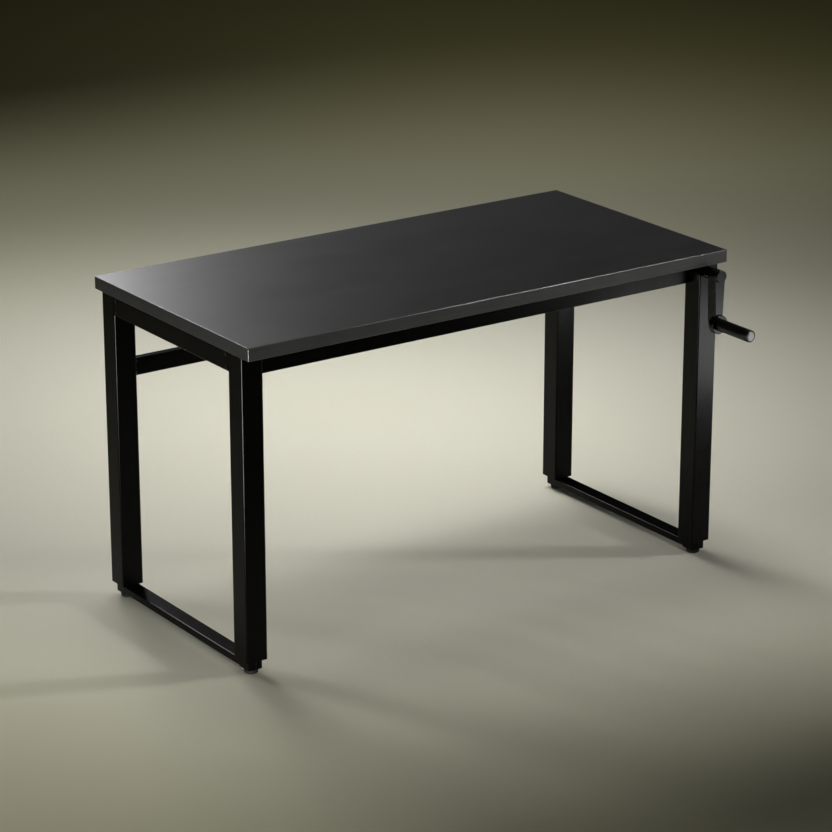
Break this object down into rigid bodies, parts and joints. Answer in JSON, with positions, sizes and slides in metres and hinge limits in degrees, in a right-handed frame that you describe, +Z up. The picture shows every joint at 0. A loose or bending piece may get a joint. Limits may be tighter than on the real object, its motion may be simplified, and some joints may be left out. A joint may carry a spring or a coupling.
{
  "type": "drafting table",
  "caption": "Flat rectangular drafting and work table on two telescoping leg frames, raised and lowered by a hand crank at the front right.",
  "frame": {"origin": "middle of the whole object's box, crank grip included, at floor level", "axes": "+X along the table's length, to the right of a person at the crank side; +Y away from that person; +Z up"},
  "size_m": [1.219, 0.7416, 0.711],
  "materials": {
    "top_laminate": "charcoal satin laminate, fine texture",
    "edge_band": "charcoal satin edging",
    "backer": "matt black balancing sheet",
    "particleboard": "raw board, covered on every side",
    "frame_paint": "black powder coat, semi-gloss",
    "lower_frame_paint": "black powder coat, semi-gloss",
    "nylon": "black glass-filled nylon",
    "foot_rubber": "black moulded rubber",
    "zinc_steel": "zinc plated",
    "bronze": "sintered bronze",
    "cast_housing": "machined casting",
    "bright_steel": "bright ground steel",
    "gear_steel": "sintered steel, oiled",
    "black_screws": "blackened steel",
    "crank_casting": "dark grey coated casting",
    "grip_plastic": "black moulded plastic",
    "grip_cap": "grey moulded plastic"
  },
  "bodies": {
    "base": {"foot_inserts": "nylon", "foot_rail_left": "lower_frame_paint", "foot_rail_right": "lower_frame_paint", "inner_glides": "nylon", "inner_tube_front_left": "lower_frame_paint", "inner_tube_front_right": "lower_frame_paint", "inner_tube_rear_left": "lower_frame_paint", "inner_tube_rear_right": "lower_frame_paint", "lead_nuts": "bronze"},
    "top_frame": {"column_front_left": "frame_paint", "column_front_right": "frame_paint", "column_glides": "nylon", "column_rear_left": "frame_paint", "column_rear_right": "frame_paint", "crank_bearing_boss": "frame_paint", "crank_bushes": "bronze", "edge_bands_long": "edge_band", "edge_bands_short": "edge_band", "end_rail_left": "frame_paint", "end_rail_right": "frame_paint", "front_rail": "frame_paint", "rail_end_blocks": "frame_paint", "rail_screws": "black_screws", "rear_rail": "frame_paint", "screw_bearings": "cast_housing", "shaft_bushes": "bronze", "tabletop_core": "particleboard", "thrust_rings": "bronze", "top_laminate": "top_laminate", "top_screws": "zinc_steel", "underside_backer": "backer"},
    "screw_front_left": {"lead_screw_front_left": "bright_steel", "screw_gear_front_left": "gear_steel"},
    "screw_front_right": {"lead_screw_front_right": "bright_steel", "screw_gear_front_right": "gear_steel"},
    "screw_rear_left": {"lead_screw_rear_left": "bright_steel", "screw_gear_rear_left": "gear_steel"},
    "screw_rear_right": {"lead_screw_rear_right": "bright_steel", "screw_gear_rear_right": "gear_steel"},
    "cross_drive": {"cross_shaft": "bright_steel", "cross_shaft_gears": "gear_steel"},
    "side_drive_left": {"side_shaft_left": "bright_steel", "side_shaft_gears_left": "gear_steel"},
    "side_drive_right": {"side_shaft_right": "bright_steel", "side_shaft_gears_right": "gear_steel"},
    "crank": {"crank_arm": "crank_casting", "crank_hub_cap": "crank_casting", "crank_shaft": "bright_steel", "crank_gear": "gear_steel", "grip_spindle": "bright_steel"},
    "grip": {"grip_sleeve": "grip_plastic", "grip_end_cap": "grip_cap"},
    "foot_front_left": {"foot_pad_front_left": "foot_rubber", "foot_stud_front_left": "zinc_steel"},
    "foot_front_right": {"foot_pad_front_right": "foot_rubber", "foot_stud_front_right": "zinc_steel"},
    "foot_rear_left": {"foot_pad_rear_left": "foot_rubber", "foot_stud_rear_left": "zinc_steel"},
    "foot_rear_right": {"foot_pad_rear_right": "foot_rubber", "foot_stud_rear_right": "zinc_steel"}
  },
  "joints": [
    {"name": "lift", "type": "slide", "parent": "base", "child": "top_frame", "axis": [0, 0, 1], "range_m": [0, 0.3]},
    {"name": "screw_turn_front_left", "type": "hinge", "parent": "top_frame", "child": "screw_front_left", "pos_m": [-0.5835, -0.18425, 0.6], "axis": [0, 0, 1], "range_deg": [0, 9000.01]},
    {"name": "screw_turn_front_right", "type": "hinge", "parent": "top_frame", "child": "screw_front_right", "pos_m": [0.5835, -0.18425, 0.6], "axis": [0, 0, 1], "range_deg": [0, 9000.01]},
    {"name": "screw_turn_rear_left", "type": "hinge", "parent": "top_frame", "child": "screw_rear_left", "pos_m": [-0.5835, 0.31775, 0.6], "axis": [0, 0, 1], "range_deg": [0, 9000.01]},
    {"name": "screw_turn_rear_right", "type": "hinge", "parent": "top_frame", "child": "screw_rear_right", "pos_m": [0.5835, 0.31775, 0.6], "axis": [0, 0, 1], "range_deg": [0, 9000.01]},
    {"name": "cross_shaft_turn", "type": "hinge", "parent": "top_frame", "child": "cross_drive", "pos_m": [0, -0.18425, 0.664], "axis": [1, 0, 0], "range_deg": [0, 11250.01]},
    {"name": "side_shaft_turn_left", "type": "hinge", "parent": "top_frame", "child": "side_drive_left", "pos_m": [-0.5835, 0.06675, 0.664], "axis": [0, 1, 0], "range_deg": [0, 11250.01]},
    {"name": "side_shaft_turn_right", "type": "hinge", "parent": "top_frame", "child": "side_drive_right", "pos_m": [0.5835, 0.06675, 0.664], "axis": [0, 1, 0], "range_deg": [0, 11250.01]},
    {"name": "crank_turn", "type": "hinge", "parent": "top_frame", "child": "crank", "pos_m": [0.5685, -0.24025, 0.664], "axis": [0, 1, 0], "range_deg": [0, 11250.01]},
    {"name": "grip_spin", "type": "hinge", "parent": "crank", "child": "grip", "pos_m": [0.5685, -0.31325, 0.556], "axis": [0, 1, 0], "continuous": true},
    {"name": "foot_turn_front_left", "type": "hinge", "parent": "base", "child": "foot_front_left", "pos_m": [-0.5835, -0.18425, 0.004], "axis": [0, 0, 1], "range_deg": [-2880, 0]},
    {"name": "foot_turn_front_right", "type": "hinge", "parent": "base", "child": "foot_front_right", "pos_m": [0.5835, -0.18425, 0.004], "axis": [0, 0, 1], "range_deg": [-2880, 0]},
    {"name": "foot_turn_rear_left", "type": "hinge", "parent": "base", "child": "foot_rear_left", "pos_m": [-0.5835, 0.31775, 0.004], "axis": [0, 0, 1], "range_deg": [-2880, 0]},
    {"name": "foot_turn_rear_right", "type": "hinge", "parent": "base", "child": "foot_rear_right", "pos_m": [0.5835, 0.31775, 0.004], "axis": [0, 0, 1], "range_deg": [-2880, 0]}
  ],
  "couplings": [
    {"joint": "screw_turn_front_left", "follows": "lift", "rad_per_m": 523.6},
    {"joint": "screw_turn_front_right", "follows": "lift", "rad_per_m": 523.6},
    {"joint": "screw_turn_rear_left", "follows": "lift", "rad_per_m": 523.6},
    {"joint": "screw_turn_rear_right", "follows": "lift", "rad_per_m": 523.6},
    {"joint": "cross_shaft_turn", "follows": "lift", "rad_per_m": 654.5},
    {"joint": "side_shaft_turn_left", "follows": "lift", "rad_per_m": 654.5},
    {"joint": "side_shaft_turn_right", "follows": "lift", "rad_per_m": 654.5},
    {"joint": "crank_turn", "follows": "lift", "rad_per_m": 654.5}
  ]
}
